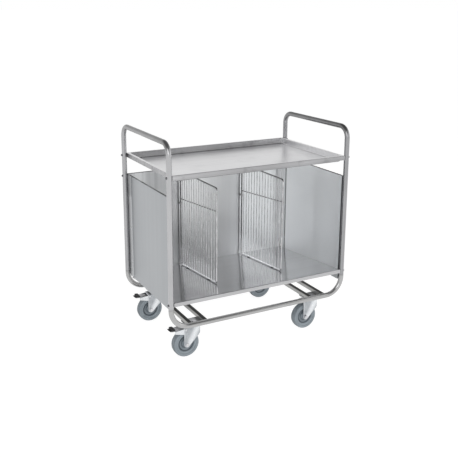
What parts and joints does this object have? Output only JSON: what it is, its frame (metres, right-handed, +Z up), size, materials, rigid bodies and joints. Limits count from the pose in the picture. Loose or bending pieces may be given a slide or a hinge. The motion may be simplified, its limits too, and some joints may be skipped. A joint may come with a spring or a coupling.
{
  "type": "dish transport trolley",
  "caption": "Tube-framed stainless trolley with a rimmed upper shelf, a leaning lower shelf closed in by panels, lift-out wire dividers and swivel castors with foot brakes.",
  "frame": {"origin": "on the floor under the middle of the trolley", "axes": "+X along the length to the right end, +Y to the back panel, +Z up"},
  "size_m": [0.9962, 0.585, 1.0575],
  "materials": {
    "tube_steel": "satin ground stainless tube",
    "bar_steel": "dull stainless box tube",
    "upper_shelf_steel": "satin stainless sheet",
    "lower_shelf_steel": "bright stainless sheet",
    "side_panel_steel": "satin stainless sheet",
    "back_panel_steel": "satin stainless sheet",
    "divider_steel": "bright stainless wire",
    "buffer_plastic": "dark grey moulding",
    "grommet_rubber": "dark grey rubber",
    "fastener_steel": "bright stainless",
    "castor_plate_steel": "zinc plated pressing",
    "fork_steel": "zinc plated pressing",
    "pin_steel": "turned steel",
    "hub_plastic": "grey moulded wheel centre",
    "tyre_rubber": "blue-grey non-marking rubber",
    "bush_plastic": "white slide bush",
    "brake_lever_steel": "zinc plated lever",
    "brake_tread_plastic": "black moulding"
  },
  "bodies": {
    "frame": {"left_handle_frame": "tube_steel", "right_handle_frame": "tube_steel", "front_rail": "tube_steel", "rear_rail": "tube_steel", "left_outer_cross_bar": "bar_steel", "left_inner_cross_bar": "bar_steel", "right_outer_cross_bar": "bar_steel", "right_inner_cross_bar": "bar_steel", "upper_shelf": "upper_shelf_steel", "lower_shelf": "lower_shelf_steel", "left_panel": "side_panel_steel", "right_panel": "side_panel_steel", "back_panel": "back_panel_steel", "peg_grommets": "grommet_rubber", "shelf_bolts": "fastener_steel", "shelf_nuts": "fastener_steel", "panel_rivets": "fastener_steel", "castor_bolts": "fastener_steel", "castor_nuts": "fastener_steel", "front_left_castor_plate": "castor_plate_steel", "rear_left_castor_plate": "castor_plate_steel", "front_right_castor_plate": "castor_plate_steel", "rear_right_castor_plate": "castor_plate_steel", "front_left_king_pin": "pin_steel", "rear_left_king_pin": "pin_steel", "front_right_king_pin": "pin_steel", "rear_right_king_pin": "pin_steel"},
    "front_left_castor": {"front_left_fork": "fork_steel", "front_left_axle": "pin_steel", "front_left_brake_pin": "pin_steel"},
    "front_left_wheel": {"front_left_wheel_hub": "hub_plastic", "front_left_tyre": "tyre_rubber", "front_left_wheel_bush": "bush_plastic"},
    "front_left_brake": {"front_left_brake_lever": "brake_lever_steel", "front_left_brake_tread": "brake_tread_plastic"},
    "rear_left_castor": {"rear_left_fork": "fork_steel", "rear_left_axle": "pin_steel", "rear_left_brake_pin": "pin_steel"},
    "rear_left_wheel": {"rear_left_wheel_hub": "hub_plastic", "rear_left_tyre": "tyre_rubber", "rear_left_wheel_bush": "bush_plastic"},
    "rear_left_brake": {"rear_left_brake_lever": "brake_lever_steel", "rear_left_brake_tread": "brake_tread_plastic"},
    "front_right_castor": {"front_right_fork": "fork_steel", "front_right_axle": "pin_steel"},
    "front_right_wheel": {"front_right_wheel_hub": "hub_plastic", "front_right_tyre": "tyre_rubber", "front_right_wheel_bush": "bush_plastic"},
    "rear_right_castor": {"rear_right_fork": "fork_steel", "rear_right_axle": "pin_steel"},
    "rear_right_wheel": {"rear_right_wheel_hub": "hub_plastic", "rear_right_tyre": "tyre_rubber", "rear_right_wheel_bush": "bush_plastic"},
    "left_divider_unit": {"left_divider": "divider_steel", "left_divider_buffer": "buffer_plastic"},
    "right_divider_unit": {"right_divider": "divider_steel", "right_divider_buffer": "buffer_plastic"}
  },
  "joints": [
    {"name": "front_left_swivel", "type": "hinge", "parent": "frame", "child": "front_left_castor", "pos_m": [-0.338, -0.224, 0.1527], "axis": [0, 0, 1], "continuous": true},
    {"name": "front_left_roll", "type": "hinge", "parent": "front_left_castor", "child": "front_left_wheel", "pos_m": [-0.386, -0.224, 0.066], "axis": [0, 1, 0], "continuous": true},
    {"name": "front_left_brake_tip", "type": "hinge", "parent": "front_left_castor", "child": "front_left_brake", "pos_m": [-0.392, -0.224, 0.142], "axis": [0, -1, 0], "range_deg": [0, 8]},
    {"name": "rear_left_swivel", "type": "hinge", "parent": "frame", "child": "rear_left_castor", "pos_m": [-0.338, 0.224, 0.1527], "axis": [0, 0, 1], "continuous": true},
    {"name": "rear_left_roll", "type": "hinge", "parent": "rear_left_castor", "child": "rear_left_wheel", "pos_m": [-0.386, 0.224, 0.066], "axis": [0, 1, 0], "continuous": true},
    {"name": "rear_left_brake_tip", "type": "hinge", "parent": "rear_left_castor", "child": "rear_left_brake", "pos_m": [-0.392, 0.224, 0.142], "axis": [0, -1, 0], "range_deg": [0, 8]},
    {"name": "front_right_swivel", "type": "hinge", "parent": "frame", "child": "front_right_castor", "pos_m": [0.338, -0.224, 0.1527], "axis": [0, 0, 1], "continuous": true},
    {"name": "front_right_roll", "type": "hinge", "parent": "front_right_castor", "child": "front_right_wheel", "pos_m": [0.29, -0.224, 0.066], "axis": [0, 1, 0], "continuous": true},
    {"name": "rear_right_swivel", "type": "hinge", "parent": "frame", "child": "rear_right_castor", "pos_m": [0.338, 0.224, 0.1527], "axis": [0, 0, 1], "continuous": true},
    {"name": "rear_right_roll", "type": "hinge", "parent": "rear_right_castor", "child": "rear_right_wheel", "pos_m": [0.29, 0.224, 0.066], "axis": [0, 1, 0], "continuous": true},
    {"name": "left_divider_lift", "type": "slide", "parent": "frame", "child": "left_divider_unit", "axis": [0, 0, 1], "range_m": [0, 0.07]},
    {"name": "right_divider_lift", "type": "slide", "parent": "frame", "child": "right_divider_unit", "axis": [0, 0, 1], "range_m": [0, 0.07]}
  ]
}
